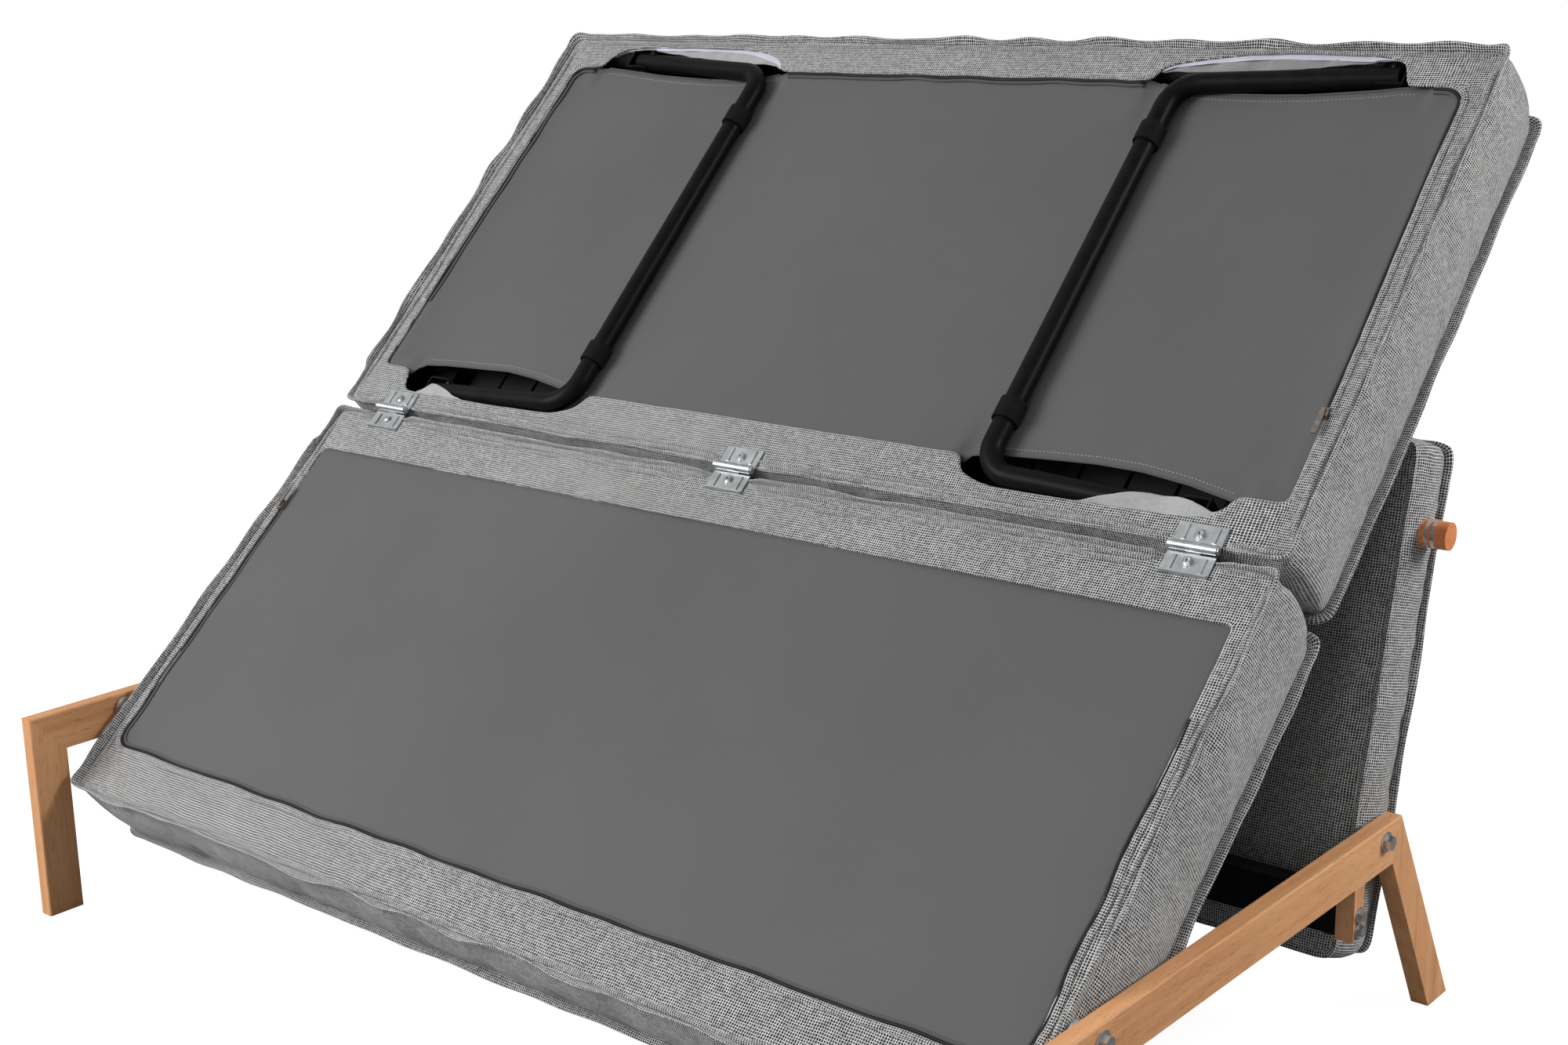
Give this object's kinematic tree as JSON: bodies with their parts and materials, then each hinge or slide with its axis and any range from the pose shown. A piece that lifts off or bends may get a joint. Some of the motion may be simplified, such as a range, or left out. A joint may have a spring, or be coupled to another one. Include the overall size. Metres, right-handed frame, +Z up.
{
  "type": "futon sofa bed",
  "caption": "A three-panel futon sofa bed on a wooden side frame, with its seat panels raised part way through folding out to a bed.",
  "frame": {"origin": "centre of the bounding box at floor level, under the middle of the sofa bed", "axes": "+X across the width to the right seen from the front, +Y to the rear where the backrest is, +Z up"},
  "size_m": [1.4728, 1.0368, 1.0278],
  "materials": {
    "beech_board": "clear satin lacquer over blond beech board, straight grain along each board",
    "check_fabric": "upholstery weave with a fine black and off-white check of about 3 mm",
    "grey_lining": "thin non-woven lining, matte mid grey",
    "foam": "open-cell cushion foam, hidden inside the covers",
    "webbing": "woven elastic webbing, hidden inside the covers",
    "black_steel": "satin black powder coat",
    "zinc_steel": "bright zinc plate",
    "hinge_steel": "pressed steel with a dull zinc plate",
    "turned_wood": "orange-brown lacquered turned wood",
    "clear_ring": "clear glossy plastic ring",
    "black_plastic": "moulded nylon",
    "black_rubber": "moulded rubber",
    "zip_metal": "bright plated zip slider"
  },
  "bodies": {
    "base": {"left_front_leg": "beech_board", "left_rail": "beech_board", "left_rear_leg": "beech_board", "left_stop_block": "beech_board", "right_front_leg": "beech_board", "right_rail": "beech_board", "right_rear_leg": "beech_board", "right_stop_block": "beech_board", "stop_bar": "black_steel", "stop_bar_end_plates": "black_steel", "stop_bar_bolts": "zinc_steel", "stop_bar_washers": "zinc_steel", "front_pivot_bolts": "zinc_steel", "rear_pivot_bolts": "zinc_steel", "pivot_washers": "zinc_steel", "pivot_spacers": "black_plastic", "pivot_nuts": "zinc_steel"},
    "backrest": {"backrest_cover": "check_fabric", "backrest_frame": "black_steel", "backrest_front_foam": "foam", "backrest_rear_foam": "foam", "backrest_webbing": "webbing", "backrest_pivot_ears": "zinc_steel", "knobs": "turned_wood", "knob_rings": "clear_ring", "knob_studs": "zinc_steel"},
    "seat_lower": {"lower_panel_cover": "check_fabric", "lower_panel_lining": "grey_lining", "lower_panel_foam": "foam", "lower_panel_frame": "black_steel", "lower_panel_webbing": "webbing", "lower_pivot_ears": "zinc_steel", "lower_hinge_leaves": "hinge_steel", "lower_hinge_screws": "hinge_steel"},
    "seat_upper": {"upper_panel_cover": "check_fabric", "upper_panel_lining": "grey_lining", "upper_panel_foam": "foam", "upper_panel_frame": "black_steel", "upper_panel_webbing": "webbing", "upper_hinge_leaves": "hinge_steel", "upper_hinge_screws": "hinge_steel", "hinge_pins": "hinge_steel", "leg_brackets": "black_steel", "leg_pivot_pins": "zinc_steel"},
    "left_leg": {"left_leg_tube": "black_steel", "left_leg_sleeves": "black_rubber", "left_leg_caps": "black_rubber"},
    "right_leg": {"right_leg_tube": "black_steel", "right_leg_sleeves": "black_rubber", "right_leg_caps": "black_rubber"},
    "lower_zip": {"lower_zip_slider": "zip_metal"},
    "upper_zip": {"upper_zip_slider": "zip_metal"}
  },
  "joints": [
    {"name": "seat_flip", "type": "hinge", "parent": "base", "child": "seat_lower", "pos_m": [0, -0.3882, 0.24], "axis": [1, 0, 0], "range_deg": [0, 138.4]},
    {"name": "backrest_drop", "type": "hinge", "parent": "base", "child": "backrest", "pos_m": [0, 0.1616, 0.24], "axis": [1, 0, 0], "range_deg": [0, 105]},
    {"name": "panel_fold", "type": "hinge", "parent": "seat_lower", "child": "seat_upper", "pos_m": [0, -0.02045, 0.57452], "axis": [1, 0, 0], "range_deg": [-3, 170]},
    {"name": "left_leg_fold", "type": "hinge", "parent": "seat_upper", "child": "left_leg", "pos_m": [-0.549, 0.02952, 0.59221], "axis": [0, 0.712, 0.7022], "range_deg": [-96, 0]},
    {"name": "right_leg_fold", "type": "hinge", "parent": "seat_upper", "child": "right_leg", "pos_m": [0.561, 0.02952, 0.59221], "axis": [0, -0.712, -0.7022], "range_deg": [-96, 0]},
    {"name": "lower_zip_slide", "type": "slide", "parent": "seat_lower", "child": "lower_zip", "axis": [0, -0.7478, -0.6639], "range_m": [0, 0.36]},
    {"name": "upper_zip_slide", "type": "slide", "parent": "seat_upper", "child": "upper_zip", "axis": [0, 0.712, 0.7022], "range_m": [0, 0.4]}
  ],
  "couplings": [
    {"joint": "backrest_drop", "follows": "seat_flip", "ratio": 0.758}
  ]
}
